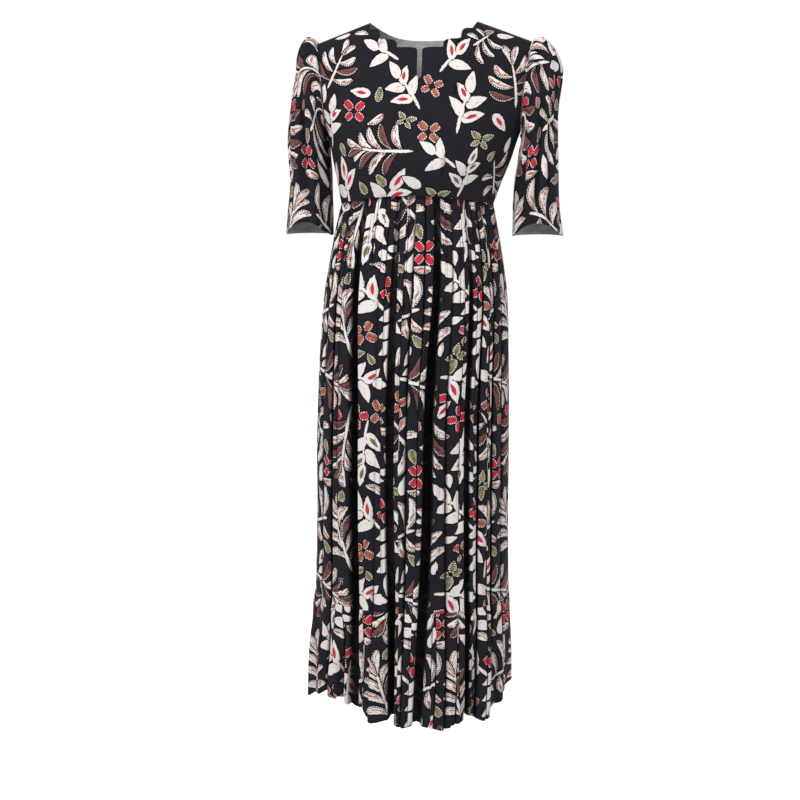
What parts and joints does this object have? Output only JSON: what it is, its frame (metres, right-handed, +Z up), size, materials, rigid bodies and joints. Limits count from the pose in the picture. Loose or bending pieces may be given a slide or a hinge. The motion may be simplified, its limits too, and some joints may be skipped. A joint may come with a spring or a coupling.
{
  "type": "maxi dress",
  "caption": "Worn empire-waist maxi dress with a scalloped slit neckline, gathered elbow sleeves, pleated skirt and gathered hem tier.",
  "frame": {"origin": "midway between the shoulders at the height of the shoulder seams, inside the neck opening, where the wearer's shoulders hold the dress", "axes": "+Z up, -Y towards the front of the dress, +X towards the wearer's left"},
  "size_m": [0.5356, 0.3691, 1.3517],
  "materials": {
    "printed_crepe": "matte crepe, near-black ground with a cream, red, rust and olive leaf print"
  },
  "bodies": {
    "root": {"bodice_front": "printed_crepe", "bodice_back": "printed_crepe", "sleeve_left": "printed_crepe", "sleeve_right": "printed_crepe", "skirt_front": "printed_crepe", "skirt_back": "printed_crepe", "hem_tier_front": "printed_crepe", "hem_tier_back": "printed_crepe"}
  },
  "joints": []
}
